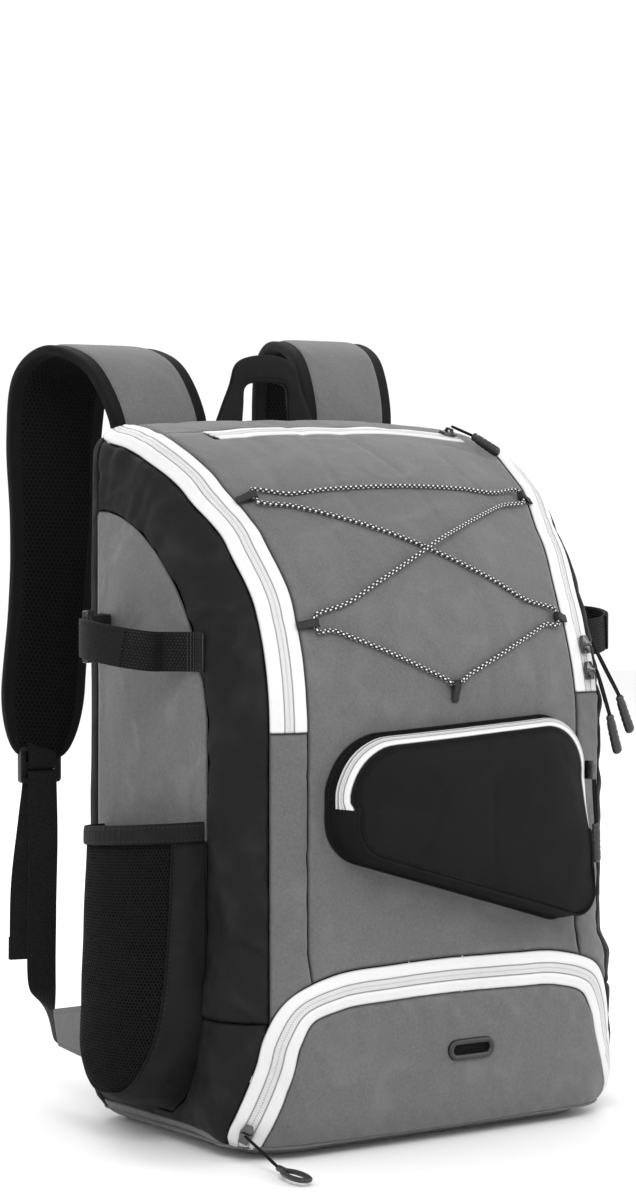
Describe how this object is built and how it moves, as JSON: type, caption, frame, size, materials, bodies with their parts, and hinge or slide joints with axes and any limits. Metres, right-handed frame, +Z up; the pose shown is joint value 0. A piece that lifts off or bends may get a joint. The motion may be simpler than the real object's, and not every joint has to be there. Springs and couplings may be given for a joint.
{
  "type": "gym backpack",
  "caption": "Tall sports backpack with a zipped shoe compartment, an offset front pocket, mesh side pockets under strap loops, elastic lacing and padded shoulder straps.",
  "frame": {"origin": "centre of the flat underside of the base, on the floor", "axes": "+Z up towards the haul loop, -Y out of the bag's front, +X to the right seen from the front"},
  "size_m": [0.45, 0.4324, 0.5568],
  "materials": {
    "grey_fabric": "fine plain-weave polyester, mid grey",
    "black_fabric": "fine plain-weave polyester, black",
    "white_tape": "woven zip tape, white",
    "black_webbing": "ribbed webbing, black",
    "black_mesh": "open mesh and spacer mesh, black",
    "elastic_cord": "braided elastic cord, black with white flecks",
    "black_plastic": "moulded, satin",
    "dark_metal": "black enamel"
  },
  "bodies": {
    "root": {"front_panel": "grey_fabric", "top_panel": "grey_fabric", "top_zip": "white_tape", "rear_top_strip": "black_fabric", "main_zipper": "white_tape", "shoe_zipper": "white_tape", "shoe_door": "grey_fabric", "vent_ring": "black_plastic", "gusset_strip_left": "grey_fabric", "gusset_strip_right": "grey_fabric", "side_band_left": "black_fabric", "side_band_right": "black_fabric", "side_panel_left": "grey_fabric", "side_panel_right": "grey_fabric", "lower_side_left": "black_fabric", "lower_side_right": "black_fabric", "back_edge_left": "black_fabric", "back_edge_right": "black_fabric", "base": "grey_fabric", "back_panel": "black_mesh", "front_pocket": "black_fabric", "front_pocket_zip": "white_tape", "pocket_frame_left": "black_fabric", "pocket_frame_right": "black_fabric", "pocket_mesh_left": "black_mesh", "pocket_mesh_right": "black_mesh", "pocket_hem_left": "black_fabric", "pocket_hem_right": "black_fabric", "side_strap_left": "black_webbing", "side_strap_right": "black_webbing", "side_ring_left": "black_plastic", "side_ring_right": "black_plastic", "side_strap_tab_left": "black_webbing", "side_strap_tab_right": "black_webbing", "shoulder_strap_left": "grey_fabric", "shoulder_strap_right": "grey_fabric", "strap_adjuster_left": "black_plastic", "strap_adjuster_right": "black_plastic", "strap_webbing_left": "black_webbing", "strap_webbing_right": "black_webbing", "strap_tab_left": "grey_fabric", "strap_tab_right": "grey_fabric", "haul_loop": "black_webbing", "shock_cord": "elastic_cord", "cord_loop_bottom": "black_webbing", "cord_loop_middle_left": "black_webbing", "cord_loop_middle_right": "black_webbing", "cord_loop_top_left": "black_webbing", "cord_loop_top_right": "black_webbing", "slider_main_upper": "dark_metal", "slider_main_lower": "dark_metal", "slider_top": "dark_metal", "slider_shoe": "dark_metal", "slider_pocket": "dark_metal", "pull_main_upper": "black_plastic", "pull_main_lower": "black_plastic", "pull_top": "black_plastic", "pull_shoe": "black_plastic", "pull_pocket": "black_plastic"}
  },
  "joints": []
}
